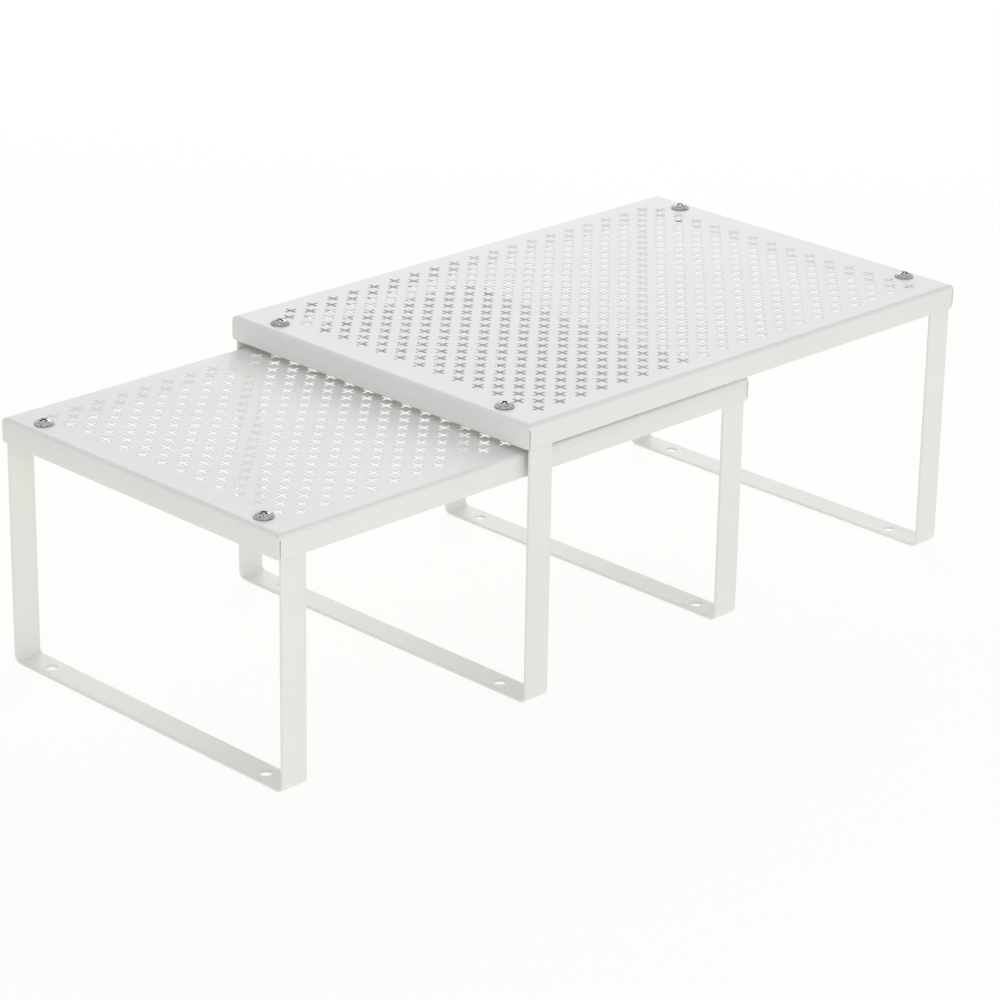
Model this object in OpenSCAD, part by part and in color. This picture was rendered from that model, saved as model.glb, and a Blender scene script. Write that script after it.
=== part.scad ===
// Tiered shelf riser: a low perforated steel table that slides out from under a taller one.
// Millimetres, +Z up. X runs along the shelves and Y from the front to the back.
// The origin is on the floor, under the middle of the whole riser as it stands drawn out.

/* [Upper shelf] */
// Length of the upper shelf, end to end
upper_l = 335.3; // [260:0.1:440]
// Depth of the upper shelf, front to back
upper_w = 228.6; // [180:0.1:320]
// Height of the upper shelf's top above the floor
upper_h = 154.9; // [100:0.1:260]
// Distance from the long edges to the upper shelf's screws and floor holes
upper_hole_inset = 28; // [16:0.5:60]

/* [Lower shelf] */
// How much shorter the lower shelf is than the upper one
lower_shorter = 2.3; // [0:0.1:60]
// Free space on each side between the lower shelf and the upper shelf's legs
side_gap = 3.8; // [1:0.1:20]
// Free height between the lower shelf's screw heads and the upper shelf's flanges
under_gap = 0.6; // [0.4:0.1:30]
// Distance from the long edges to the lower shelf's screws and floor holes
lower_hole_inset = 22.5; // [16:0.5:60]
// How far the lower shelf stands drawn out from under the upper one
pull_out = 161; // [17:0.5:240]

/* [Sheet trays] */
// Thickness of the sheet
sheet_t = 1; // [0.6:0.1:1.6]
// Height of the turned-down flanges, outside
flange_h = 13.5; // [11:0.5:24]
// Outside radius of the bends along the edges
bend_r = 2.5; // [1.8:0.1:5]
// Width of the slit between two flanges at a corner
slit_w = 0.6; // [0.3:0.1:2]
// Height of closed sheet between a bend and the slit below it
slit_land = 0.4; // [0.2:0.1:3]
// Radius on the lower corners of the short flanges
flange_corner_r = 2; // [0.5:0.1:5]

/* [Cross holes] */
// Length of a cross hole, tip to tip
cross_span = 6.2; // [3:0.1:9]
// Width of a cross hole's arms
cross_arm_w = 1.6; // [0.8:0.1:2.6]
// Step from one column of crosses to the next
cross_step_x = 7.7; // [6:0.05:16]
// Step from one row of crosses to the next
cross_step_y = 7.35; // [6:0.05:16]
// One diagonal line of crosses is cut in every so many lines of the field, and all of them at 1
cross_line_step = 2; // [1:1:4]
// Least plain sheet between the screw heads and the crosses
cross_screw_gap = 1.6; // [0.5:0.1:20]
// Least plain sheet between the long edges and the crosses
cross_side_gap = 10; // [4:0.5:40]

/* [Leg frames] */
// Width of the strip that the leg frames are bent from
strip_w = 16; // [13:0.5:30]
// Thickness of the strip
strip_t = 1.5; // [1:0.1:3]
// Outside radius of the strip's bends
strip_bend_r = 4.5; // [3.2:0.1:9]
// Gap between a leg's edge and the short flange beside it
leg_end_gap = 1; // [0.2:0.1:8]
// Length of each top tab past the middle of its screw
tab_past_screw = 8; // [6:0.5:14]
// Diameter of the holes in the floor runs
floor_hole_d = 6.4; // [4:0.1:9]

/* [Fasteners] */
// Thread diameter of the screws
screw_d = 5; // [3:0.5:6]
// Length of the screws under the head
screw_l = 8; // [7:0.5:10]
// Play of the screws in the sheet and the tabs, on the diameter
screw_play = 0.4; // [0.2:0.1:1]
// Diameter of the screw heads
head_d = 10.4; // [8:0.1:13]
// Height of the screw heads
head_h = 2.8; // [2:0.1:4.5]
// Height of the upright rim of a screw head
head_rim = 0.6; // [0.2:0.1:1]
// Length of the cross recess in a screw head
recess_l = 5; // [3:0.1:6]
// Width of the cross recess
recess_w = 1.1; // [0.6:0.1:2]
// Depth of the cross recess
recess_depth = 1.5; // [0.6:0.1:1.8]
// Width of the nuts across their flats
nut_af = 8; // [7:0.5:11]
// Height of the nuts
nut_h = 4; // [2:0.5:4]
// Play between the nuts and the screws, on the diameter
nut_play = 0.2; // [0.1:0.05:0.6]

/* [Hidden] */
$fn = 64;
// How far a cutting shape runs past the faces that it cuts
through = 1;
HEX = 6;
STEEL_WHITE = [0.93, 0.93, 0.92];
PLATED = [0.72, 0.73, 0.74];
ZINC = [0.62, 0.63, 0.64];

lower_l = upper_l - lower_shorter;
lower_w = upper_w - 2 * (sheet_t + strip_t + side_gap);
lower_h = upper_h - flange_h - under_gap - head_h;
lower_x = -(upper_l + pull_out) / 2;
upper_x = lower_x + pull_out;

leg_inset = sheet_t + leg_end_gap;
screw_end_inset = leg_inset + strip_w / 2;
screw_hole_d = screw_d + screw_play;
cross_end_gap = screw_end_inset + head_d / 2 + cross_screw_gap;
head_dome_h = head_h - head_rim;
head_dome_r = (pow(head_d / 2, 2) + pow(head_dome_h, 2)) / (2 * head_dome_h);

// Each shelf: left end, length, depth, height, hole inset, first column of its front row of crosses
UPPER = [upper_x, upper_l, upper_w, upper_h, upper_hole_inset, 0];
LOWER = [lower_x, lower_l, lower_w, lower_h, lower_hole_inset, 1];
function left_end(shelf) = shelf[0];
function length(shelf) = shelf[1];
function depth(shelf) = shelf[2];
function height(shelf) = shelf[3];
function hole_inset(shelf) = shelf[4];
function first_column(shelf) = shelf[5];
function middle(shelf) = left_end(shelf) + length(shelf) / 2;

// Each corner: its name and its side along X and Y
CORNERS = [
    ["front_left", [-1, -1]],
    ["front_right", [1, -1]],
    ["back_left", [-1, 1]],
    ["back_right", [1, 1]]
];
function corner_name(corner) = corner[0];
function corner_side(corner) = corner[1];
function screw_at(shelf, side) = [
    side.x * (length(shelf) / 2 - screw_end_inset),
    side.y * (depth(shelf) / 2 - hole_inset(shelf))
];

SHELF_NODES = ["panel", "left_leg_frame", "right_leg_frame"];

// Copies for the four corners of a shelf, on the screw axes, with Z at the floor
module at_screw(shelf, side) {
    translate([middle(shelf), 0, 0])
        translate(screw_at(shelf, side))
            children();
}

// Outline of a sheet bent down at both sides, standing on the X axis
module bent_outline(width, tall, r) {
    translate([-width / 2, 0])
        square([width, tall - r]);
    translate([r - width / 2, 0])
        square([width - 2 * r, tall]);
    for (side = [-1, 1])
        translate([side * (width / 2 - r), tall - r])
            circle(r = r);
}

// Block with its four upper edges rounded and mitred at the corners
module bent_block(l, w, tall, r) {
    intersection() {
        rotate([90, 0, 0])
            linear_extrude(height = w, center = true)
                bent_outline(l, tall, r);
        rotate([90, 0, 90])
            linear_extrude(height = l, center = true)
                bent_outline(w, tall, r);
    }
}

// One cross hole
module cross_outline() {
    tip = cross_span / 2;
    arm = cross_arm_w / 2;
    polygon([
        [tip, -arm], [tip, arm], [arm, arm], [arm, tip], [-arm, tip], [-arm, arm],
        [-tip, arm], [-tip, -arm], [-arm, -arm], [-arm, -tip], [arm, -tip], [arm, -arm]
    ]);
}

// Staggered field of crosses on a shelf, about its middle
module cross_field(shelf) {
    columns = floor((length(shelf) - 2 * cross_end_gap - cross_span) / cross_step_x);
    rows = floor((depth(shelf) - 2 * cross_side_gap - cross_span) / cross_step_y);
    stagger = 2 * cross_line_step;
    for (row = [0:rows])
        for (column = [(row + first_column(shelf)) % stagger:stagger:columns])
            translate([(column - columns / 2) * cross_step_x, (row - rows / 2) * cross_step_y])
                cross_outline();
}

// Slits that part the long flanges from the short ones, and the short flanges' rounded corners
module flange_corner_cuts(l, w) {
    r = flange_corner_r;
    for (corner = CORNERS) {
        side = corner_side(corner);
        mirror([side.x < 0 ? 1 : 0, 0, 0])
            mirror([0, side.y < 0 ? 1 : 0, 0]) {
                translate([l / 2 - sheet_t - slit_w, w / 2 - sheet_t - through, -through])
                    cube([slit_w, sheet_t + 2 * through, flange_h - bend_r - slit_land + through]);
                translate([l / 2 - sheet_t - slit_w, w / 2 - r, 0])
                    difference() {
                        translate([0, 0, -through])
                            cube([sheet_t + slit_w + through, r + through, r + through]);
                        translate([-through, 0, r])
                            rotate([0, 90, 0])
                                cylinder(r = r, h = sheet_t + slit_w + 3 * through);
                    }
            }
    }
}

// Flat part of a tray's top, up to its bends
module flat_outline(shelf) {
    square([length(shelf) - 2 * bend_r, depth(shelf) - 2 * bend_r], center = true);
}

// Perforated top sheet, as a flat plate on the floor
module top_sheet(shelf) {
    linear_extrude(height = sheet_t)
        difference() {
            flat_outline(shelf);
            cross_field(shelf);
            for (corner = CORNERS)
                translate(screw_at(shelf, corner_side(corner)))
                    circle(d = screw_hole_d);
        }
}

// Bends and flanges round the top sheet, standing on the floor
module flange_rim(shelf) {
    l = length(shelf);
    w = depth(shelf);
    difference() {
        bent_block(l, w, flange_h, bend_r);
        translate([0, 0, -through])
            bent_block(l - 2 * sheet_t, w - 2 * sheet_t, flange_h - sheet_t + through, bend_r - sheet_t);
        linear_extrude(height = flange_h + through)
            flat_outline(shelf);
        flange_corner_cuts(l, w);
    }
}

// Perforated tray: a top sheet with four flanges turned down
module tray(shelf) {
    color(STEEL_WHITE)
        translate([middle(shelf), 0, height(shelf)]) {
            translate([0, 0, -sheet_t])
                top_sheet(shelf);
            translate([0, 0, -flange_h])
                flange_rim(shelf);
        }
}

// Rectangle with round corners, standing on the X axis
module round_rectangle(width, tall, r) {
    translate([r - width / 2, 0])
        square([width - 2 * r, tall]);
    translate([-width / 2, r])
        square([width, tall - 2 * r]);
    for (side = [-1, 1])
        for (up = [r, tall - r])
            translate([side * (width / 2 - r), up])
                circle(r = r);
}

// Edge view of a leg frame: a strip bent into a floor run, two legs and two tabs
module strip_outline(shelf) {
    width = depth(shelf) - 2 * sheet_t;
    tall = height(shelf) - sheet_t;
    tab_gap = depth(shelf) - 2 * (hole_inset(shelf) + tab_past_screw);
    difference() {
        round_rectangle(width, tall, strip_bend_r);
        translate([0, strip_t])
            round_rectangle(width - 2 * strip_t, tall - 2 * strip_t, strip_bend_r - strip_t);
        translate([-tab_gap / 2, tall - strip_t - through])
            square([tab_gap, strip_t + 2 * through]);
    }
}

// Leg frame at the left (-1) or right (1) end of a shelf
module leg_frame(shelf, end) {
    color(STEEL_WHITE)
        difference() {
            translate([middle(shelf) + end * (length(shelf) / 2 - screw_end_inset), 0, 0])
                rotate([90, 0, 90])
                    linear_extrude(height = strip_w, center = true)
                        strip_outline(shelf);
            for (front_or_back = [-1, 1])
                at_screw(shelf, [end, front_or_back]) {
                    translate([0, 0, -through])
                        cylinder(d = floor_hole_d, h = strip_t + 2 * through);
                    translate([0, 0, height(shelf) - sheet_t - strip_t - through])
                        cylinder(d = screw_hole_d, h = strip_t + 2 * through);
                }
        }
}

// Half section of a screw about its axis, with the underside of the head at zero
module screw_section() {
    intersection() {
        translate([0, head_h - head_dome_r])
            circle(r = head_dome_r);
        square([head_d / 2, head_h]);
    }
    translate([0, -screw_l])
        square([screw_d / 2, screw_l + head_rim]);
}

// Domed screw with a cross recess, its head on the tray
module screw(shelf, side) {
    color(PLATED)
        at_screw(shelf, side)
            translate([0, 0, height(shelf)])
                difference() {
                    rotate_extrude()
                        screw_section();
                    for (turn = [0, 90])
                        rotate(turn)
                            translate([-recess_l / 2, -recess_w / 2, head_h - recess_depth])
                                cube([recess_l, recess_w, recess_depth + through]);
                }
}

// Hexagon nut under a tab
module nut(shelf, side) {
    color(ZINC)
        at_screw(shelf, side)
            translate([0, 0, height(shelf) - sheet_t - strip_t - nut_h])
                difference() {
                    cylinder(d = nut_af / cos(180 / HEX), h = nut_h, $fn = HEX);
                    translate([0, 0, -through])
                        cylinder(d = screw_d + nut_play, h = nut_h + 2 * through);
                }
}

module upper_panel() tray(UPPER);
module upper_left_leg_frame() leg_frame(UPPER, -1);
module upper_right_leg_frame() leg_frame(UPPER, 1);
module lower_panel() tray(LOWER);
module lower_left_leg_frame() leg_frame(LOWER, -1);
module lower_right_leg_frame() leg_frame(LOWER, 1);

upper_panel();
upper_left_leg_frame();
upper_right_leg_frame();
lower_panel();
lower_left_leg_frame();
lower_right_leg_frame();
for (corner = CORNERS) {
    screw(UPPER, corner_side(corner));
    nut(UPPER, corner_side(corner));
    screw(LOWER, corner_side(corner));
    nut(LOWER, corner_side(corner));
}
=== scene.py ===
"""Tiered shelf riser: two perforated steel trays on bent-strip leg frames, on a pale studio floor."""
import logging
import math
from collections.abc import Iterable
from dataclasses import dataclass
from enum import Enum

import bmesh
import bpy
from bmesh.types import BMEdge, BMFace, BMVert, BMesh
from mathutils import Matrix, Vector


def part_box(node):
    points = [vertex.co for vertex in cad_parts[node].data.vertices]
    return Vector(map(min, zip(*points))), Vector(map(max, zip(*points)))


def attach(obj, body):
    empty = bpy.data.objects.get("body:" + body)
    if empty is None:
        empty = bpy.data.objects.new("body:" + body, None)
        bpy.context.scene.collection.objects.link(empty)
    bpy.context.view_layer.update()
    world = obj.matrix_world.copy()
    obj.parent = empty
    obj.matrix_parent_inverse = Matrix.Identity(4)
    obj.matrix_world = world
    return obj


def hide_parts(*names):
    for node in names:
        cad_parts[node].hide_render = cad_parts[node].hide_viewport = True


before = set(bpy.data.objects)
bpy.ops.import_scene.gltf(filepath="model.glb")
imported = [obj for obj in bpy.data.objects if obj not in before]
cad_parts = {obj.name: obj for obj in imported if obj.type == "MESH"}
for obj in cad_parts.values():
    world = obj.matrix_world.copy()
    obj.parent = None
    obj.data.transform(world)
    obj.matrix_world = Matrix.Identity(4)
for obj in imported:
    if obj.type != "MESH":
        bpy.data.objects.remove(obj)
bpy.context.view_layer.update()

LOG = logging.getLogger("shelf_riser")
MM = 0.001
NEAR = 1e-6
CREASE = math.radians(32)
FACING = 0.9
ROUND_PROFILE = 0.5
NOISE_LOW = 0.3
NOISE_HIGH = 0.7


class Tier(Enum):
    """The two tables of the riser."""

    UPPER = "upper"
    LOWER = "lower"


class End(Enum):
    """The ends of a table that a leg frame stands at."""

    LEFT = "left"
    RIGHT = "right"


class Corner(Enum):
    """The corners of a table, each with its side along X and Y."""

    FRONT_LEFT = (-1, -1)
    FRONT_RIGHT = (1, -1)
    BACK_LEFT = (-1, 1)
    BACK_RIGHT = (1, 1)

    @property
    def word(self) -> str:
        """The corner's name as the solids spell it."""
        return self.name.lower()


def verts_in(geom: Iterable) -> list[BMVert]:
    """The vertices among some mesh elements."""
    return [g for g in geom if isinstance(g, BMVert)]


def verts_of(edges: Iterable[BMEdge]) -> list[BMVert]:
    """The vertices of some edges, each once and in order."""
    return list(dict.fromkeys(v for e in edges for v in e.verts))


def drop_ring(bm: BMesh, ring: list[BMEdge], drop: float) -> list[BMEdge]:
    """Extrudes a run of edges straight down.

    Args:
        bm: The mesh being made.
        ring: The edges to extrude.
        drop: How far down the new edges lie.

    Returns:
        The new edges.
    """
    grown = bmesh.ops.extrude_edge_only(bm, edges=ring)["geom"]
    fresh = set(verts_in(grown))
    bmesh.ops.translate(bm, vec=(0, 0, -drop), verts=list(fresh))
    return [g for g in grown if isinstance(g, BMEdge) and set(g.verts) <= fresh]


def spread(bm: BMesh, verts: list[BMVert], out: float) -> None:
    """Moves vertices away from the two middle planes, each by its own quarter.

    Args:
        bm: The mesh being made.
        verts: The vertices, about the Z axis.
        out: How far they move along X and along Y.
    """
    for corner in Corner:
        side_x, side_y = corner.value
        quarter = [v for v in verts if v.co.x * side_x > 0 and v.co.y * side_y > 0]
        bmesh.ops.translate(bm, vec=(side_x * out, side_y * out, 0), verts=quarter)


def plus_ring(bm: BMesh, span: float, arm: float, z: float) -> list[BMEdge]:
    """Makes the outline of a plus about the Z axis.

    Args:
        bm: The mesh being made.
        span: Length of the plus, tip to tip.
        arm: Width of its arms.
        z: Height of the outline.

    Returns:
        The twelve edges of the outline.
    """
    place = Matrix.Translation((0, 0, z))
    core = bmesh.ops.create_grid(bm, x_segments=1, y_segments=1, size=arm / 2, matrix=place)["verts"]
    faces = {core[0].link_faces[0]}
    for edge in list(core[0].link_faces[0].edges):
        outward = (edge.verts[0].co + edge.verts[1].co) / 2 - place.translation
        grown = bmesh.ops.extrude_edge_only(bm, edges=[edge])["geom"]
        bmesh.ops.translate(bm, vec=outward.normalized() * (span - arm) / 2, verts=verts_in(grown))
        faces.update(g for g in grown if isinstance(g, BMFace))
    whole = bmesh.ops.dissolve_faces(bm, faces=list(faces), use_verts=False)["region"][0]
    ring = list(whole.edges)
    bmesh.ops.delete(bm, geom=[whole], context="FACES_ONLY")
    return ring


def circle_ring(bm: BMesh, radius: float, segments: int, at: Vector) -> list[BMEdge]:
    """Makes a flat circle of edges.

    Args:
        bm: The mesh being made.
        radius: Radius of the circle.
        segments: Number of edges.
        at: Middle of the circle.

    Returns:
        The edges of the circle.
    """
    made = bmesh.ops.create_circle(
        bm, cap_ends=False, radius=radius, segments=segments, matrix=Matrix.Translation(at)
    )["verts"]
    return list({e for v in made for e in v.link_edges})


def turn_ring(bm: BMesh, ring: list[BMEdge], radius: float, z: float, axis: Vector) -> list[BMEdge]:
    """Extrudes a ring of edges onto a circle, each vertex along its own radius.

    Args:
        bm: The mesh being made.
        ring: The edges to extrude.
        radius: Radius of the circle.
        z: Height of the circle.
        axis: A point on the upright axis of the circle.

    Returns:
        The new edges.
    """
    fresh = drop_ring(bm, ring, 0.0)
    for vert in verts_of(fresh):
        off = (vert.co - axis).xy.normalized() * radius
        vert.co = (axis.x + off.x, axis.y + off.y, z)
    return fresh


def soften(bm: BMesh, edges: list[BMEdge], radius: float, segments: int) -> None:
    """Rounds edges and marks the rounded faces' vertices for the finish.

    Args:
        bm: The mesh being made.
        edges: The edges to round.
        radius: How far the rounding reaches.
        segments: Number of facets across it.
    """
    layer = bm.verts.layers.float.get("edge") or bm.verts.layers.float.new("edge")
    rounded = bmesh.ops.bevel(
        bm, geom=edges, offset=radius, offset_type="OFFSET", segments=segments, profile=ROUND_PROFILE,
        affect="EDGES", clamp_overlap=True, material=-1,
    )
    for face in rounded["faces"]:
        for vert in face.verts:
            vert[layer] = 1.0


def sharp_edges(bm: BMesh, angle: float) -> list[BMEdge]:
    """The outward edges between two faces that turn by more than an angle."""
    return [e for e in bm.edges if e.is_manifold and e.is_convex and e.calc_face_angle() > angle]


def link_mesh(bm: BMesh, name: str) -> bpy.types.Object:
    """Closes a mesh into an object with smooth bends and crisp edges.

    Args:
        bm: The finished mesh, which is freed.
        name: Name of the piece.

    Returns:
        The new object, at the origin.
    """
    bmesh.ops.recalc_face_normals(bm, faces=bm.faces[:])
    for face in bm.faces:
        face.smooth = True
    for edge in bm.edges:
        edge.smooth = len(edge.link_faces) == 2 and edge.calc_face_angle() < CREASE
    mesh = bpy.data.meshes.new(name)
    bm.to_mesh(mesh)
    bm.free()
    piece = bpy.data.objects.new(name, mesh)
    bpy.context.scene.collection.objects.link(piece)
    return piece


class Bench:
    """The node tree of a material or of the room, with short ways to add and join its nodes."""

    FIRST_COLOUR = 6
    SECOND_COLOUR = 7
    MIXED_COLOUR = 2

    def __init__(self, owner: bpy.types.Material | bpy.types.World, end: str) -> None:
        """Empties the owner's tree and starts it again from its output.

        Args:
            owner: What the tree belongs to.
            end: Kind of its output node.
        """
        owner.use_nodes = True
        self.owner = owner
        self.tree = owner.node_tree
        self.tree.nodes.clear()
        self.output = self.tree.nodes.new(end)

    @classmethod
    def for_material(cls, name: str) -> "Bench":
        """Starts a new material."""
        return cls(bpy.data.materials.new(name), "ShaderNodeOutputMaterial")

    @classmethod
    def for_room(cls, name: str) -> "Bench":
        """Starts a new room for the light."""
        return cls(bpy.data.worlds.new(name), "ShaderNodeOutputWorld")

    def add(self, kind: str, **settings: object) -> bpy.types.Node:
        """Adds a node and sets its properties."""
        made = self.tree.nodes.new(kind)
        for name, value in settings.items():
            setattr(made, name, value)
        return made

    def join(self, out: bpy.types.NodeSocket, into: bpy.types.NodeSocket) -> None:
        """Joins an output socket to an input socket."""
        self.tree.links.new(out, into)

    def noise(self, scale: float, detail: float, rough: float = 0.5) -> bpy.types.NodeSocket:
        """Adds a noise on object coordinates.

        Args:
            scale: Repeats per metre.
            detail: Octaves of finer noise.
            rough: Share of each finer octave.

        Returns:
            The noise's factor socket.
        """
        place = self.add("ShaderNodeTexCoord").outputs["Object"]
        made = self.add("ShaderNodeTexNoise")
        made.inputs["Scale"].default_value = scale
        made.inputs["Detail"].default_value = detail
        made.inputs["Roughness"].default_value = rough
        self.join(place, made.inputs["Vector"])
        return made.outputs["Fac"]

    def ranged(self, out: bpy.types.NodeSocket, low: float, high: float) -> bpy.types.NodeSocket:
        """Stretches a noise's middle to a range.

        Args:
            out: The noise's factor.
            low: Value where the noise is low.
            high: Value where the noise is high.

        Returns:
            The stretched value's socket.
        """
        made = self.add("ShaderNodeMapRange")
        made.inputs["From Min"].default_value = NOISE_LOW
        made.inputs["From Max"].default_value = NOISE_HIGH
        made.inputs["To Min"].default_value = low
        made.inputs["To Max"].default_value = high
        self.join(out, made.inputs["Value"])
        return made.outputs["Result"]

    def sums(
        self, first: bpy.types.NodeSocket, second: bpy.types.NodeSocket, share: float
    ) -> bpy.types.NodeSocket:
        """The first value plus a share of the second."""
        made = self.add("ShaderNodeMath", operation="MULTIPLY_ADD")
        self.join(second, made.inputs[0])
        made.inputs[1].default_value = share
        self.join(first, made.inputs[2])
        return made.outputs[0]

    def times(self, first: bpy.types.NodeSocket, second: bpy.types.NodeSocket) -> bpy.types.NodeSocket:
        """The product of two values."""
        made = self.add("ShaderNodeMath", operation="MULTIPLY")
        self.join(first, made.inputs[0])
        self.join(second, made.inputs[1])
        return made.outputs[0]

    def marked(self, name: str) -> bpy.types.NodeSocket:
        """A value that is painted on the mesh."""
        return self.add("ShaderNodeAttribute", attribute_name=name).outputs["Fac"]

    def blended(
        self, factor: bpy.types.NodeSocket, first: object, second: tuple[float, float, float]
    ) -> bpy.types.NodeSocket:
        """Blends a colour towards another.

        Args:
            factor: Share of the second colour.
            first: The first colour, or a socket that gives it.
            second: The second colour.

        Returns:
            The blended colour's socket.
        """
        made = self.add("ShaderNodeMix", data_type="RGBA")
        self.join(factor, made.inputs["Factor"])
        if isinstance(first, tuple):
            made.inputs[self.FIRST_COLOUR].default_value = (*first, 1)
        else:
            self.join(first, made.inputs[self.FIRST_COLOUR])
        made.inputs[self.SECOND_COLOUR].default_value = (*second, 1)
        return made.outputs[self.MIXED_COLOUR]

    def bumped(self, height: bpy.types.NodeSocket, depth: float) -> bpy.types.NodeSocket:
        """Turns a height into a normal.

        Args:
            height: The height's socket.
            depth: Depth of a height of one, in metres.

        Returns:
            The normal's socket.
        """
        made = self.add("ShaderNodeBump")
        made.inputs["Strength"].default_value = 1.0
        made.inputs["Distance"].default_value = depth
        self.join(height, made.inputs["Height"])
        return made.outputs["Normal"]

    def surface(self, shader: bpy.types.Node) -> bpy.types.Material | bpy.types.World:
        """Ends the tree with its shader."""
        self.join(shader.outputs[0], self.output.inputs["Surface"])
        return self.owner

    def mixed(
        self, factor: bpy.types.NodeSocket, first: bpy.types.Node, second: bpy.types.Node
    ) -> bpy.types.Node:
        """Mixes two shaders.

        Args:
            factor: Share of the second shader.
            first: The first shader.
            second: The second shader.

        Returns:
            The mixing node.
        """
        made = self.add("ShaderNodeMixShader")
        self.join(factor, made.inputs[0])
        self.join(first.outputs[0], made.inputs[1])
        self.join(second.outputs[0], made.inputs[2])
        return made


@dataclass(frozen=True)
class PowderCoat:
    """Satin white powder coat with a fine orange peel, thinner over the edges."""

    slot: str = "powder_coat"
    colour: tuple[float, float, float] = (0.84, 0.84, 0.825)
    cloud: tuple[float, float, float] = (0.815, 0.815, 0.798)
    thin: tuple[float, float, float] = (0.74, 0.74, 0.73)
    thin_share: float = 0.3
    roughness: tuple[float, float] = (0.4, 0.54)
    peel_scale: float = 620
    peel_detail: float = 2.0
    peel_rough: float = 0.4
    grit_scale: float = 2600
    grit_detail: float = 1.0
    grit_share: float = 0.22
    peel_depth: float = 0.045 * MM
    cloud_scale: float = 14
    cloud_detail: float = 3.0

    def make(self) -> bpy.types.Material:
        """Makes the material."""
        bench = Bench.for_material(self.slot)
        peel = bench.noise(self.peel_scale, self.peel_detail, self.peel_rough)
        grit = bench.noise(self.grit_scale, self.grit_detail)
        cloud = bench.ranged(bench.noise(self.cloud_scale, self.cloud_detail), 0.0, 1.0)
        base = bench.blended(cloud, self.colour, self.cloud)
        worn = bench.times(bench.marked("edge"), bench.ranged(peel, 0.0, self.thin_share))
        coat = bench.add("ShaderNodeBsdfPrincipled")
        bench.join(bench.blended(worn, base, self.thin), coat.inputs["Base Color"])
        bench.join(bench.ranged(grit, *self.roughness), coat.inputs["Roughness"])
        relief = bench.sums(peel, grit, self.grit_share)
        bench.join(bench.bumped(relief, self.peel_depth), coat.inputs["Normal"])
        return bench.surface(coat)


@dataclass(frozen=True)
class ScrewPlating:
    """Bright nickel plating, with near-black painted shade in the driver recess."""

    slot: str = "screw_plating"
    colour: tuple[float, float, float] = (0.56, 0.56, 0.545)
    haze: tuple[float, float, float] = (0.2, 0.2, 0.195)
    # Near-black colour painted into the driver recess as its shade.
    recess_shade: tuple[float, float, float] = (0.035, 0.035, 0.035)
    roughness: tuple[float, float] = (0.14, 0.36)
    haze_scale: float = 900
    haze_detail: float = 3.0
    pit_scale: float = 5200
    pit_detail: float = 2.0
    pit_depth: float = 0.006 * MM

    def make(self) -> bpy.types.Material:
        """Makes the material."""
        bench = Bench.for_material(self.slot)
        haze = bench.noise(self.haze_scale, self.haze_detail)
        pits = bench.noise(self.pit_scale, self.pit_detail)
        base = bench.blended(bench.ranged(haze, 0.0, 1.0), self.colour, self.haze)
        metal = bench.add("ShaderNodeBsdfPrincipled")
        metal.inputs["Metallic"].default_value = 1.0
        # The marked recess is blended to near black: painted shade.
        bench.join(bench.blended(bench.marked("recess"), base, self.recess_shade), metal.inputs["Base Color"])
        bench.join(bench.ranged(haze, *self.roughness), metal.inputs["Roughness"])
        bench.join(bench.bumped(pits, self.pit_depth), metal.inputs["Normal"])
        return bench.surface(metal)


@dataclass(frozen=True)
class NutPlating:
    """Dull zinc plating with a faint spangle."""

    slot: str = "nut_plating"
    colour: tuple[float, float, float] = (0.6, 0.61, 0.62)
    spangle: tuple[float, float, float] = (0.48, 0.49, 0.51)
    roughness: tuple[float, float] = (0.34, 0.52)
    spangle_scale: float = 1100
    spangle_detail: float = 2.0
    pit_scale: float = 4200
    pit_detail: float = 2.0
    pit_depth: float = 0.008 * MM

    def make(self) -> bpy.types.Material:
        """Makes the material."""
        bench = Bench.for_material(self.slot)
        spangle = bench.noise(self.spangle_scale, self.spangle_detail)
        pits = bench.noise(self.pit_scale, self.pit_detail)
        metal = bench.add("ShaderNodeBsdfPrincipled")
        metal.inputs["Metallic"].default_value = 1.0
        base = bench.blended(bench.ranged(spangle, 0.0, 1.0), self.colour, self.spangle)
        bench.join(base, metal.inputs["Base Color"])
        bench.join(bench.ranged(pits, *self.roughness), metal.inputs["Roughness"])
        bench.join(bench.bumped(pits, self.pit_depth), metal.inputs["Normal"])
        return bench.surface(metal)


Finish = PowderCoat | ScrewPlating | NutPlating


@dataclass
class Piece:
    """One made piece, which stands for one solid of the frame."""

    name: str
    node: str
    body: str

    def model(self) -> BMesh:
        """Models the piece in its place. Each kind of piece has its own way."""
        raise NotImplementedError

    def make(self, finish: Finish, material: bpy.types.Material) -> bpy.types.Object:
        """Models and dresses the piece and sets it on its body.

        Args:
            finish: The finish. Not used.
            material: The finish's material.

        Returns:
            The finished object.
        """
        piece = link_mesh(self.model(), self.name)
        piece.data.materials.append(material)
        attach(piece, self.body)
        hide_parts(self.node)
        return piece


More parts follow.
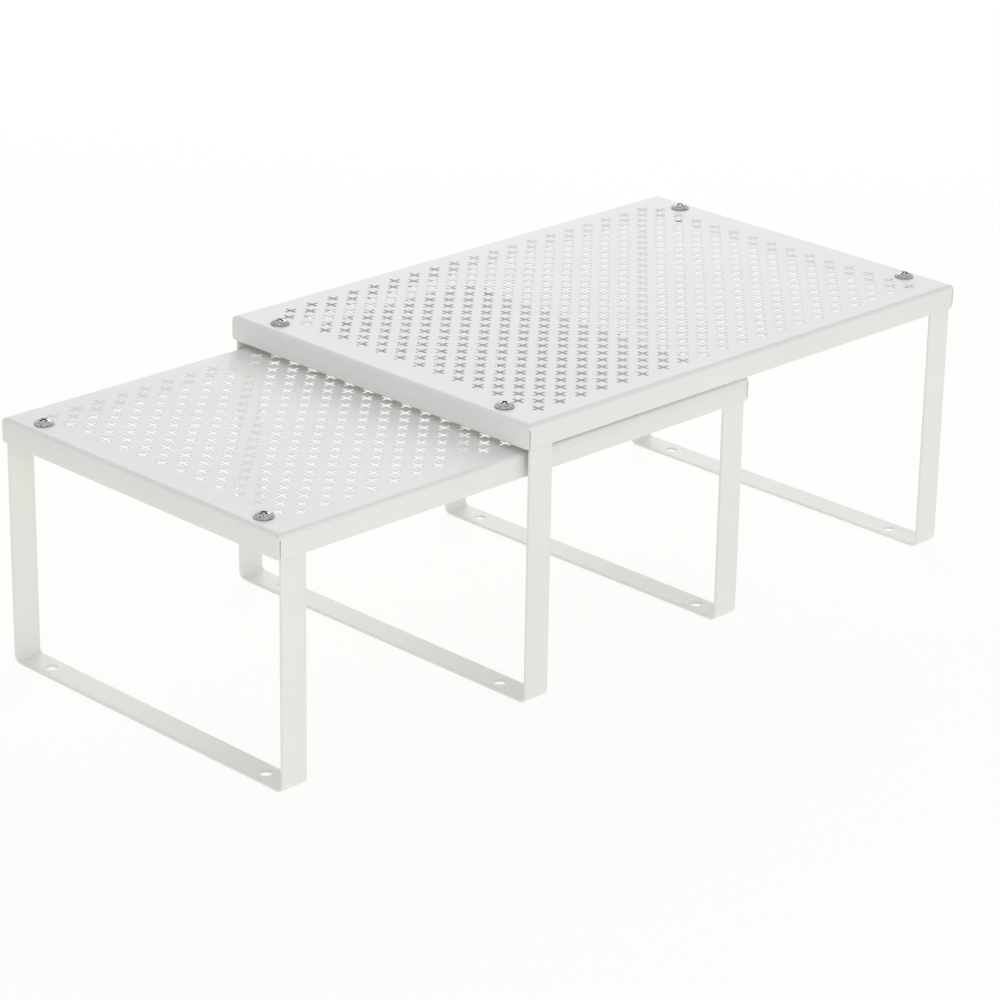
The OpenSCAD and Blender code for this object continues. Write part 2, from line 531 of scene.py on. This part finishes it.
@dataclass
class PerforatedTray(Piece):
    """Sheet punched with a staggered field of crosses, its four edges turned down."""

    middle_x: float = 0.0
    length: float = 0.0
    depth: float = 0.0
    height: float = 0.0
    sheet_t: float = 0.5 * MM
    screws: tuple[Vector, ...] = ()
    first_column: int = 0
    flange_h: float = 13.5 * MM
    bend_r: float = 2.5 * MM
    bend_steps: int = 8
    bend_guard: float = 0.6 * MM
    slit_w: float = 0.6 * MM
    slit_land: float = 0.4 * MM
    slit_lip: float = 0.4 * MM
    flange_corner_r: float = 2.0 * MM
    flange_corner_steps: int = 6
    mitre_r: float = 0.7 * MM
    mitre_steps: int = 3
    mitre_slack: float = 0.05 * MM
    edge_r: float = 0.16 * MM
    edge_steps: int = 2
    edge_turn: float = math.radians(65)
    cross_span: float = 7.7 * MM
    cross_arm_w: float = 1.6 * MM
    cross_rim: float = 0.12 * MM
    cross_step_x: float = 7.7 * MM
    cross_step_y: float = 7.35 * MM
    cross_end_gap: float = 16.3 * MM
    cross_side_gap: float = 10.0 * MM
    screw_hole_d: float = 5.4 * MM
    screw_hole_steps: int = 32

    def model(self) -> BMesh:
        """Presses the rim, punches the sheet and fills it in between."""
        bm = bmesh.new()
        self.press_rim(bm)
        self.soften_rim(bm)
        self.punch_crosses(bm)
        self.drill_screw_holes(bm)
        self.close_sheet(bm)
        bmesh.ops.translate(bm, vec=(self.middle_x, 0, 0), verts=bm.verts[:])
        return bm

    def press_rim(self, bm: BMesh) -> None:
        """Turns the four flanges down round the flat of the sheet and gives them their thickness."""
        inset = self.bend_r + self.bend_guard
        flat = bmesh.ops.create_grid(bm, x_segments=1, y_segments=1, size=1.0)["verts"]
        bmesh.ops.scale(bm, vec=(self.length / 2 - inset, self.depth / 2 - inset, 1), verts=flat)
        bmesh.ops.translate(bm, vec=(0, 0, self.height), verts=flat)
        ring = list(flat[0].link_faces[0].edges)
        bmesh.ops.delete(bm, geom=[flat[0].link_faces[0]], context="FACES_ONLY")
        ring = drop_ring(bm, ring, 0.0)
        spread(bm, verts_of(ring), self.bend_guard)
        quarter = math.pi / 2 / self.bend_steps
        for step in range(self.bend_steps):
            before, after = quarter * step, quarter * (step + 1)
            ring = drop_ring(bm, ring, self.bend_r * (math.cos(before) - math.cos(after)))
            spread(bm, verts_of(ring), self.bend_r * (math.sin(after) - math.sin(before)))
        ring = drop_ring(bm, ring, self.slit_land)
        lip = drop_ring(bm, ring, self.slit_lip)
        drop_ring(bm, lip, self.flange_h - self.bend_r - self.slit_land - self.slit_lip)
        self.cut_slits(bm)
        self.round_flange_corners(bm)
        bmesh.ops.recalc_face_normals(bm, faces=bm.faces[:])
        if bm.faces[0].normal.z < 0:
            bmesh.ops.reverse_faces(bm, faces=bm.faces[:])
        bmesh.ops.solidify(bm, geom=bm.faces[:], thickness=self.sheet_t)
        self.open_flat(bm)

    def cut_slits(self, bm: BMesh) -> None:
        """Cuts the long flanges back from the short ones below the closed corners."""
        reach = self.length / 2 - self.sheet_t - self.slit_w
        slit_top = self.height - self.bend_r - self.slit_land

        def low_long_faces() -> list[BMFace]:
            """The long flanges' faces below the closed corners."""
            return [
                f for f in bm.faces
                if abs(f.normal.y) > FACING and all(v.co.z < slit_top + NEAR for v in f.verts)
            ]

        bm.normal_update()
        for side in (-1, 1):
            faces = low_long_faces()
            geom = [*faces, *{e for f in faces for e in f.edges}, *{v for f in faces for v in f.verts}]
            bmesh.ops.bisect_plane(bm, geom=geom, plane_co=(side * reach, 0, 0), plane_no=(1, 0, 0))
        bm.normal_update()
        cut = [f for f in low_long_faces() if abs(f.calc_center_median().x) > reach]
        bmesh.ops.delete(bm, geom=cut, context="FACES")

    def round_flange_corners(self, bm: BMesh) -> None:
        """Rounds the lower corners of the short flanges."""
        foot = self.height - self.flange_h
        corners = [
            v for v in bm.verts
            if abs(v.co.z - foot) < NEAR and abs(abs(v.co.x) - self.length / 2) < NEAR
        ]
        bmesh.ops.bevel(
            bm, geom=corners, offset=self.flange_corner_r, offset_type="OFFSET",
            segments=self.flange_corner_steps, profile=ROUND_PROFILE,
            affect="VERTICES", clamp_overlap=True, material=-1,
        )

    def open_flat(self, bm: BMesh) -> None:
        """Takes out the walls that close the rim towards the flat of the sheet."""
        inset = self.bend_r + self.bend_guard - NEAR
        reach_x = self.length / 2 - inset
        reach_y = self.depth / 2 - inset
        walls = [
            f for f in bm.faces
            if all(abs(v.co.x) < reach_x and abs(v.co.y) < reach_y for v in f.verts)
        ]
        bmesh.ops.delete(bm, geom=walls, context="FACES_ONLY")
        bmesh.ops.delete(bm, geom=[e for e in bm.edges if e.is_wire], context="EDGES")

    def soften_rim(self, bm: BMesh) -> None:
        """Rounds the mitred corners and breaks the cut edges of the flanges."""
        foot = self.height - self.bend_r - self.slit_land

        def on_mitre(vert: BMVert) -> bool:
            """True for a vertex on the outer corner line of the closed sheet."""
            off_x = self.length / 2 - abs(vert.co.x)
            off_y = self.depth / 2 - abs(vert.co.y)
            low = max(0.0, vert.co.z - (self.height - self.bend_r))
            ideal = self.bend_r - math.sqrt(max(0.0, self.bend_r ** 2 - low ** 2))
            near_line = abs(off_x - off_y) < NEAR and abs(off_x - ideal) < self.mitre_slack
            return near_line and vert.co.z > foot - NEAR

        mitres = [e for e in bm.edges if all(on_mitre(v) for v in e.verts)]
        soften(bm, mitres, self.mitre_r, self.mitre_steps)
        bm.normal_update()
        soften(bm, sharp_edges(bm, self.edge_turn), self.edge_r, self.edge_steps)

    def cross_sleeve(self, bm: BMesh) -> list[object]:
        """Makes the wall of one punched cross, with a small rounded rim above and below.

        Args:
            bm: The mesh being made.

        Returns:
            The wall's vertices, edges and faces, about the Z axis.
        """
        layer = bm.verts.layers.float.get("edge") or bm.verts.layers.float.new("edge")
        top = plus_ring(bm, self.cross_span, self.cross_arm_w, self.height)
        spread(bm, verts_of(top), self.cross_rim)
        upper = drop_ring(bm, top, self.cross_rim)
        spread(bm, verts_of(upper), -self.cross_rim)
        lower = drop_ring(bm, upper, self.sheet_t - 2 * self.cross_rim)
        foot = drop_ring(bm, lower, self.cross_rim)
        spread(bm, verts_of(foot), self.cross_rim)
        for vert in verts_of([*top, *upper]):
            vert[layer] = 1.0
        verts = verts_of([*top, *upper, *lower, *foot])
        return [*verts, *{e for v in verts for e in v.link_edges}, *{f for v in verts for f in v.link_faces}]

    def punch_crosses(self, bm: BMesh) -> None:
        """Punches the staggered field: two kinds of row, each copied along the depth."""
        columns = math.floor((self.length - 2 * self.cross_end_gap - self.cross_span) / self.cross_step_x)
        rows = math.floor((self.depth - 2 * self.cross_side_gap - self.cross_span) / self.cross_step_y)
        for start_row in (0, 1):
            start_column = (start_row + self.first_column) % 2
            cross = self.cross_sleeve(bm)
            start_x = (start_column - columns / 2) * self.cross_step_x
            start_y = (start_row - rows / 2) * self.cross_step_y
            bmesh.ops.translate(bm, vec=(start_x, start_y, 0), verts=verts_in(cross))
            line = list(cross)
            for place in range(1, (columns - start_column) // 2 + 1):
                line += self.copied(bm, cross, (2 * place * self.cross_step_x, 0, 0))
            for place in range(1, (rows - start_row) // 2 + 1):
                self.copied(bm, line, (0, 2 * place * self.cross_step_y, 0))

    @staticmethod
    def copied(bm: BMesh, geom: list[object], by: tuple[float, float, float]) -> list[object]:
        """Copies mesh elements and moves the copy."""
        copy = bmesh.ops.duplicate(bm, geom=geom)["geom"]
        bmesh.ops.translate(bm, vec=by, verts=verts_in(copy))
        return copy

    def drill_screw_holes(self, bm: BMesh) -> None:
        """Makes the walls of the four screw holes."""
        for screw in self.screws:
            at = Vector((screw.x - self.middle_x, screw.y, self.height))
            rim = circle_ring(bm, self.screw_hole_d / 2, self.screw_hole_steps, at)
            drop_ring(bm, rim, self.sheet_t)

    def close_sheet(self, bm: BMesh) -> None:
        """Fills the sheet's two faces between the rim and all the holes."""
        for z, up in ((self.height, 1), (self.height - self.sheet_t, -1)):
            loops = [e for e in bm.edges if e.is_boundary and all(abs(v.co.z - z) < NEAR for v in e.verts)]
            bmesh.ops.triangle_fill(bm, use_beauty=True, use_dissolve=False, edges=loops, normal=(0, 0, up))


@dataclass
class LegFrame(Piece):
    """Steel strip bent into a floor run, two legs and two tabs, with a hole under each screw."""

    middle_x: float = 0.0
    width: float = 0.0
    tall: float = 0.0
    hole_y: float = 0.0
    strip_w: float = 16.0 * MM
    strip_t: float = 1.5 * MM
    bend_r: float = 4.5 * MM
    bend_steps: int = 10
    tab_past_screw: float = 8.0 * MM
    floor_hole_d: float = 6.4 * MM
    screw_hole_d: float = 5.4 * MM
    hole_rim: float = 0.8 * MM
    hole_cuts: int = 7
    edge_r: float = 0.28 * MM
    edge_steps: int = 2
    edge_turn: float = math.radians(60)

    def model(self) -> BMesh:
        """Bends the front half of the strip from its tab to the middle, then mirrors it to the back."""
        bm = bmesh.new()
        tip = self.tab_past_screw - self.hole_y
        ends = [
            bm.verts.new((self.middle_x + side * self.strip_w / 2, tip, self.tall)) for side in (-1, 1)
        ]
        bmesh.ops.subdivide_edges(bm, edges=[bm.edges.new(ends)], cuts=self.hole_cuts)
        bend_y = self.bend_r - self.width / 2
        square = 2 * self.tab_past_screw
        end = self.pierced_run(bm, bm.edges[:], tip - square, self.screw_hole_d)
        end = self.run_to(bm, end, bend_y, self.tall)
        end = self.bend(bm, end, bend_y, self.tall - self.bend_r)
        end = self.run_to(bm, end, -self.width / 2, self.bend_r)
        end = self.bend(bm, end, bend_y, self.bend_r)
        end = self.run_to(bm, end, tip - square, 0.0)
        end = self.pierced_run(bm, end, tip, self.floor_hole_d)
        self.run_to(bm, end, 0.0, 0.0)
        bmesh.ops.mirror(bm, geom=[*bm.verts, *bm.edges, *bm.faces], axis="Y", merge_dist=NEAR)
        bmesh.ops.remove_doubles(bm, verts=bm.verts[:], dist=NEAR)
        bmesh.ops.recalc_face_normals(bm, faces=bm.faces[:])
        lowest = min(bm.faces, key=lambda f: f.calc_center_median().z)
        if lowest.normal.z > 0:
            bmesh.ops.reverse_faces(bm, faces=bm.faces[:])
        bmesh.ops.solidify(bm, geom=bm.faces[:], thickness=self.strip_t)
        bm.normal_update()
        soften(bm, sharp_edges(bm, self.edge_turn), self.edge_r, self.edge_steps)
        return bm

    @staticmethod
    def run_to(bm: BMesh, end: list[BMEdge], y: float, z: float) -> list[BMEdge]:
        """Runs the strip on in a straight line.

        Args:
            bm: The mesh being made.
            end: The edges across the strip's end.
            y: Where the new end lies along Y.
            z: Where the new end lies along Z.

        Returns:
            The edges across the strip's new end.
        """
        here = end[0].verts[0].co.copy()
        grown = bmesh.ops.extrude_edge_only(bm, edges=end)["geom"]
        fresh = set(verts_in(grown))
        bmesh.ops.translate(bm, vec=(0, y - here.y, z - here.z), verts=list(fresh))
        return [g for g in grown if isinstance(g, BMEdge) and set(g.verts) <= fresh]

    def bend(self, bm: BMesh, end: list[BMEdge], y: float, z: float) -> list[BMEdge]:
        """Bends the strip by a right angle.

        Args:
            bm: The mesh being made.
            end: The edges across the strip's end.
            y: Middle of the bend along Y.
            z: Middle of the bend along Z.

        Returns:
            The edges across the strip's new end.
        """
        last = bmesh.ops.spin(
            bm, geom=[*end, *verts_of(end)], cent=(0, y, z), axis=(1, 0, 0), angle=math.pi / 2,
            steps=self.bend_steps, use_merge=False, use_duplicate=False,
        )["geom_last"]
        return [g for g in last if isinstance(g, BMEdge)]

    def pierced_run(self, bm: BMesh, end: list[BMEdge], y: float, hole_d: float) -> list[BMEdge]:
        """Runs the strip on by a square with a round hole in its middle.

        Args:
            bm: The mesh being made.
            end: The edges across the strip's end.
            y: Where the new end lies along Y.
            hole_d: Diameter of the hole.

        Returns:
            The edges across the strip's new end.
        """
        here = end[0].verts[0].co.copy()
        far = self.run_to(bm, end, y, here.z)
        faces = [e.link_faces[0] for e in far]
        whole = bmesh.ops.dissolve_faces(bm, faces=faces, use_verts=False)["region"][0]
        at = Vector((self.middle_x, (here.y + y) / 2, here.z))
        across = {*end, *far}
        sides = [e for e in whole.edges if e not in across]
        bmesh.ops.delete(bm, geom=[whole], context="FACES_ONLY")
        bmesh.ops.subdivide_edges(bm, edges=sides, cuts=self.hole_cuts)
        low, high = sorted((here.y, y))
        border = [
            e for e in bm.edges
            if len(e.link_faces) < 2
            and all(low - NEAR < v.co.y < high + NEAR and abs(v.co.z - here.z) < NEAR for v in e.verts)
        ]
        rim = turn_ring(bm, border, hole_d / 2 + self.hole_rim, here.z, at)
        turn_ring(bm, rim, hole_d / 2, here.z, at)
        return far


@dataclass
class DomedScrew(Piece):
    """Domed screw with a cross recess and a threaded shank."""

    at: Vector = Vector()
    head_d: float = 10.4 * MM
    head_h: float = 2.8 * MM
    head_rim: float = 0.6 * MM
    rim_r: float = 0.15 * MM
    rim_share: float = 0.3
    recess_l: float = 5.0 * MM
    recess_w: float = 1.1 * MM
    recess_depth: float = 1.5 * MM
    recess_taper: float = 0.6
    recess_lip: float = 0.15 * MM
    recess_cuts: int = 3
    screw_d: float = 5.0 * MM
    core_d: float = 4.2 * MM
    screw_l: float = 8.0 * MM
    pitch: float = 0.8 * MM
    groove_share: float = 0.45
    crest_share: float = 0.9
    dome_rings: int = 5

    def model(self) -> BMesh:
        """Domes the head round its recess, then turns the rim and the shank down from it."""
        bm = bmesh.new()
        # The recess layer carries the painted shade of the driver recess.
        mark = bm.verts.layers.float.new("recess")
        mouth = plus_ring(bm, self.recess_l, self.recess_w, 0.0)
        bmesh.ops.subdivide_edges(bm, edges=mouth, cuts=self.recess_cuts)
        mouth = bm.edges[:]
        rim = self.dome_out(bm, mouth)
        self.sink_recess(bm, mouth, mark)
        self.turn_shank(bm, rim)
        bmesh.ops.translate(bm, vec=self.at, verts=bm.verts[:])
        return bm

    def dome_out(self, bm: BMesh, mouth: list[BMEdge]) -> list[BMEdge]:
        """Lofts the dome from the recess's mouth out to the round rim of the head.

        Args:
            bm: The mesh being made.
            mouth: The ring at the recess.

        Returns:
            The ring at the rim.
        """
        step = math.tau / len(mouth)
        dome_h = self.head_h - self.head_rim
        dome_r = ((self.head_d / 2) ** 2 + dome_h ** 2) / (2 * dome_h)

        def bearing(vert: BMVert) -> float:
            """Angle of a vertex about the screw's axis, from the first arm."""
            return (math.atan2(vert.co.y, vert.co.x) + step / 2) % math.tau

        ring = mouth
        for turn in range(self.dome_rings):
            ring = drop_ring(bm, ring, 0.0)
            share = 1 / (self.dome_rings - turn)
            for place, vert in enumerate(sorted(verts_of(ring), key=bearing)):
                goal = Vector((math.cos(step * place), math.sin(step * place), 0)) * self.head_d / 2
                vert.co = vert.co.lerp(goal, share)
        for vert in bm.verts:
            vert.co.z = self.head_h - dome_r + math.sqrt(max(0.0, dome_r ** 2 - vert.co.xy.length_squared))
        return ring

    def sink_recess(self, bm: BMesh, mouth: list[BMEdge], mark: object) -> None:
        """Sinks the tapered driver recess and closes its floor.

        Args:
            bm: The mesh being made.
            mouth: The open ring at the recess.
            mark: Vertex layer that marks the recess for the finish's painted shade.
        """
        wall = drop_ring(bm, mouth, self.recess_lip)
        floor = drop_ring(bm, wall, 0.0)
        for vert in verts_of(floor):
            vert.co.z = self.head_h - self.recess_depth
        bmesh.ops.scale(bm, vec=(self.recess_taper, self.recess_taper, 1), verts=verts_of(floor))
        bmesh.ops.triangle_fill(bm, use_beauty=True, use_dissolve=False, edges=floor, normal=(0, 0, 1))
        # Marks the recess walls and floor, where the finish paints near-black shade.
        for vert in verts_of([*wall, *floor]):
            vert[mark] = 1.0

    def turn_shank(self, bm: BMesh, rim: list[BMEdge]) -> None:
        """Turns the rim, the underside and the threaded shank.

        Args:
            bm: The mesh being made.
            rim: The open ring at the head's rim.
        """
        radius, core, crest = self.head_d / 2, self.core_d / 2, self.screw_d / 2
        break_r = self.rim_share * self.rim_r
        profile = [
            (radius, self.rim_r), (radius - break_r, break_r), (radius - self.rim_r, 0.0), (crest, 0.0),
        ]
        turns = int(self.screw_l / self.pitch)
        for turn in range(turns):
            low = -turn * self.pitch
            profile += [
                (core, low - self.groove_share * self.pitch),
                (crest, low - self.crest_share * self.pitch),
                (crest, low - self.pitch),
            ]
        profile.append((core, -self.screw_l))
        for reach, z in profile:
            rim = turn_ring(bm, rim, reach, z, Vector())
        bmesh.ops.contextual_create(bm, geom=rim)


@dataclass
class HexNut(Piece):
    """Hexagon nut with chamfered corners and a plain bore."""

    at: Vector = Vector()
    sides: int = 6
    flats: float = 8.0 * MM
    tall: float = 4.0 * MM
    bore_d: float = 5.2 * MM
    bore_chamfer: float = 0.3 * MM
    face_d: float = 7.7 * MM
    side_cuts: int = 7
    corner_slope: float = math.tan(math.radians(30))

    def model(self) -> BMesh:
        """Turns the hexagon's sides, its two faces and the bore as one closed ring."""
        bm = bmesh.new()
        half_side = math.pi / self.sides
        radius = self.flats / 2 / math.cos(half_side)
        corners = circle_ring(bm, radius, self.sides, Vector((0, 0, self.tall)))
        turn = Matrix.Rotation(half_side, 3, "Z")
        if max(abs(v.co.x) for v in bm.verts) < radius - NEAR:
            bmesh.ops.rotate(bm, cent=(0, 0, 0), matrix=turn, verts=bm.verts[:])
        bmesh.ops.subdivide_edges(bm, edges=corners, cuts=self.side_cuts)
        top = bm.edges[:]
        foot = drop_ring(bm, top, self.tall)
        self.dip_corners(top, -1)
        self.dip_corners(foot, 1)
        bore, face = self.bore_d / 2, self.face_d / 2
        profile = [
            (face, 0.0), (bore + self.bore_chamfer, 0.0), (bore, self.bore_chamfer),
            (bore, self.tall - self.bore_chamfer), (bore + self.bore_chamfer, self.tall), (face, self.tall),
        ]
        ring = foot
        for reach, z in profile:
            ring = turn_ring(bm, ring, reach, z, Vector())
        bmesh.ops.bridge_loops(bm, edges=[*ring, *top])
        bmesh.ops.translate(bm, vec=self.at, verts=bm.verts[:])
        return bm

    def dip_corners(self, ring: list[BMEdge], side: int) -> None:
        """Lowers a hexagon's corners from the nut's face as a cone leaves them.

        Args:
            ring: The edges of the hexagon.
            side: Sense in which the corners leave the face, up or down.
        """
        for vert in verts_of(ring):
            vert.co.z += side * (vert.co.xy.length - self.face_d / 2) * self.corner_slope


@dataclass
class Shelf:
    """One table: its tray, two leg frames, four screws and four nuts."""

    tray: PerforatedTray
    frames: list[LegFrame]
    screws: list[DomedScrew]
    nuts: list[HexNut]

    @classmethod
    def from_frame(cls, tier: Tier) -> "Shelf":
        """Takes the table's places and sizes from the solids, and lifts tabs and nuts to the thin sheet.

        Args:
            tier: Which of the two tables.

        Returns:
            The table, not yet made.
        """
        word, body = tier.value, f"{tier.value}_shelf"
        low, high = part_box(f"{word}_panel")
        _, tab_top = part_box(f"{word}_{End.LEFT.value}_leg_frame")
        lift = high.z - PerforatedTray.sheet_t - tab_top.z
        screws, nuts = [], []
        for corner in Corner:
            node = f"{word}_screw_{corner.word}"
            screw_low, screw_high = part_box(node)
            at = (screw_low + screw_high) / 2
            at.z = high.z
            screws.append(DomedScrew(f"{word}_{corner.word}_domed_screw", node, body, at=at))
            node = f"{word}_nut_{corner.word}"
            nut_low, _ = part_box(node)
            nut_at = Vector((at.x, at.y, nut_low.z + lift))
            nuts.append(HexNut(f"{word}_{corner.word}_hex_nut", node, body, at=nut_at))
        tray = PerforatedTray(
            f"{word}_punched_tray", f"{word}_panel", body, middle_x=(low.x + high.x) / 2,
            length=high.x - low.x, depth=high.y - low.y, height=high.z,
            screws=tuple(s.at for s in screws), first_column=0 if tier is Tier.UPPER else 1,
        )
        frames = []
        for end in End:
            node = f"{word}_{end.value}_leg_frame"
            foot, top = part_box(node)
            frames.append(LegFrame(
                f"{word}_{end.value}_bent_leg", node, body, middle_x=(foot.x + top.x) / 2,
                width=top.y - foot.y, tall=top.z + lift, hole_y=abs(screws[0].at.y),
            ))
        return cls(tray, frames, screws, nuts)

    def make(self, materials: dict[Finish, bpy.types.Material]) -> list[bpy.types.Object]:
        """Makes and dresses every piece of the table.

        Args:
            materials: The material of each finish.

        Returns:
            The finished objects.
        """
        by_slot = {finish.slot: (finish, material) for finish, material in materials.items()}
        made = [piece.make(*by_slot["powder_coat"]) for piece in (self.tray, *self.frames)]
        made += [screw.make(*by_slot["screw_plating"]) for screw in self.screws]
        made += [nut.make(*by_slot["nut_plating"]) for nut in self.nuts]
        return made


@dataclass
class Studio:
    """White floor, an even room light, two soft lamps and the camera."""

    floor_size: float = 14.0
    floor_z: float = -0.3 * MM
    floor_colour: tuple[float, float, float] = (0.92, 0.912, 0.85)
    floor_shine: float = 0.31
    floor_glow: float = 0.98
    floor_glow_share: float = 0.8
    sky: float = 0.68
    sky_colour: tuple[float, float, float] = (0.98, 0.99, 1.0)
    sky_shown: float = 1.0
    front_at: tuple[float, float, float] = (-0.8, -2.3, 0.55)
    front_size: float = 1.0
    front_power: float = 8.0
    back_at: tuple[float, float, float] = (1.6, 1.6, 1.4)
    back_size: float = 1.8
    back_power: float = 14.0
    camera_at: tuple[float, float, float] = (-1.31777, -1.33646, 0.80694)
    camera_right: tuple[float, float, float] = (0.714678, -0.69928, 0.015589)
    camera_up: tuple[float, float, float] = (0.24896, 0.275143, 0.928609)
    lens: float = 133.131
    sensor: float = 36.0
    camera_reach: float = 100.0

    def make(self) -> None:
        """Sets up the floor, the light and the camera."""
        bpy.context.scene.view_settings.view_transform = "Standard"
        self.lay_floor()
        self.light_sky()
        self.hang_lamp("studio_front", self.front_at, self.front_size, self.front_power)
        self.hang_lamp("studio_back", self.back_at, self.back_size, self.back_power)
        self.stand_camera()

    @staticmethod
    def seen_rays(bench: Bench) -> bpy.types.NodeSocket:
        """One for camera, glossy and transmission rays, and zero for the rays that only light."""
        path = bench.add("ShaderNodeLightPath")
        first = bench.add("ShaderNodeMath", operation="MAXIMUM")
        bench.join(path.outputs["Is Camera Ray"], first.inputs[0])
        bench.join(path.outputs["Is Glossy Ray"], first.inputs[1])
        second = bench.add("ShaderNodeMath", operation="MAXIMUM")
        bench.join(first.outputs[0], second.inputs[0])
        bench.join(path.outputs["Is Transmission Ray"], second.inputs[1])
        return second.outputs[0]

    def lay_floor(self) -> None:
        """Lays a white floor that shines a little and still takes the riser's shadow."""
        bm = bmesh.new()
        bmesh.ops.create_grid(
            bm, x_segments=1, y_segments=1, size=self.floor_size / 2,
            matrix=Matrix.Translation((0, 0, self.floor_z)),
        )
        floor = link_mesh(bm, "studio_floor")
        if floor.data.polygons[0].normal.z < 0:
            floor.data.flip_normals()
        bench = Bench.for_material("studio_floor_paper")
        paper = bench.add("ShaderNodeBsdfDiffuse")
        paper.inputs["Color"].default_value = (*self.floor_colour, 1)
        shine = bench.add("ShaderNodeEmission")
        shine.inputs["Color"].default_value = (*self.floor_colour, 1)
        shine.inputs["Strength"].default_value = self.floor_shine
        lit = bench.add("ShaderNodeAddShader")
        bench.join(paper.outputs[0], lit.inputs[0])
        bench.join(shine.outputs[0], lit.inputs[1])
        glow = bench.add("ShaderNodeEmission")
        glow.inputs["Strength"].default_value = self.floor_glow
        share = bench.add("ShaderNodeMath", operation="MULTIPLY")
        bench.join(self.seen_rays(bench), share.inputs[0])
        share.inputs[1].default_value = self.floor_glow_share
        floor.data.materials.append(bench.surface(bench.mixed(share.outputs[0], lit, glow)))

    def light_sky(self) -> None:
        """Lights the room evenly and shows it white."""
        bench = Bench.for_room("studio_room")
        lit, shown = bench.add("ShaderNodeBackground"), bench.add("ShaderNodeBackground")
        lit.inputs["Color"].default_value = (*self.sky_colour, 1)
        lit.inputs["Strength"].default_value = self.sky
        shown.inputs["Color"].default_value = (1, 1, 1, 1)
        shown.inputs["Strength"].default_value = self.sky_shown
        bpy.context.scene.world = bench.surface(bench.mixed(self.seen_rays(bench), lit, shown))

    @staticmethod
    def hang_lamp(name: str, place: tuple[float, float, float], size: float, power: float) -> None:
        """Hangs a soft round lamp that faces the riser.

        Args:
            name: Name of the lamp.
            place: Where it hangs.
            size: Width of its disc, in metres.
            power: Its power, in watts.
        """
        data = bpy.data.lights.new(name, "AREA")
        data.shape = "DISK"
        data.size = size
        data.energy = power
        lamp = bpy.data.objects.new(name, data)
        lamp.location = place
        lamp.rotation_euler = (-Vector(place)).to_track_quat("-Z", "Y").to_euler()
        bpy.context.scene.collection.objects.link(lamp)

    def stand_camera(self) -> None:
        """Stands the camera at the front left, a little above the riser."""
        data = bpy.data.cameras.new("studio_camera")
        data.lens = self.lens
        data.sensor_width = self.sensor
        data.clip_end = self.camera_reach
        camera = bpy.data.objects.new("studio_camera", data)
        right, up = Vector(self.camera_right), Vector(self.camera_up)
        turn = Matrix((right, up, right.cross(up))).transposed()
        camera.matrix_world = Matrix.Translation(self.camera_at) @ turn.to_4x4()
        bpy.context.scene.collection.objects.link(camera)
        bpy.context.scene.camera = camera


def main() -> None:
    """Makes both tables and the studio, and reports each piece."""
    logging.basicConfig(level=logging.INFO, format="%(name)s: %(message)s")
    materials = {finish: finish.make() for finish in (PowderCoat(), ScrewPlating(), NutPlating())}
    for tier in Tier:
        for piece in Shelf.from_frame(tier).make(materials):
            LOG.info("%s: %d faces", piece.name, len(piece.data.polygons))
    Studio().make()


if __name__ == "__main__":
    main()
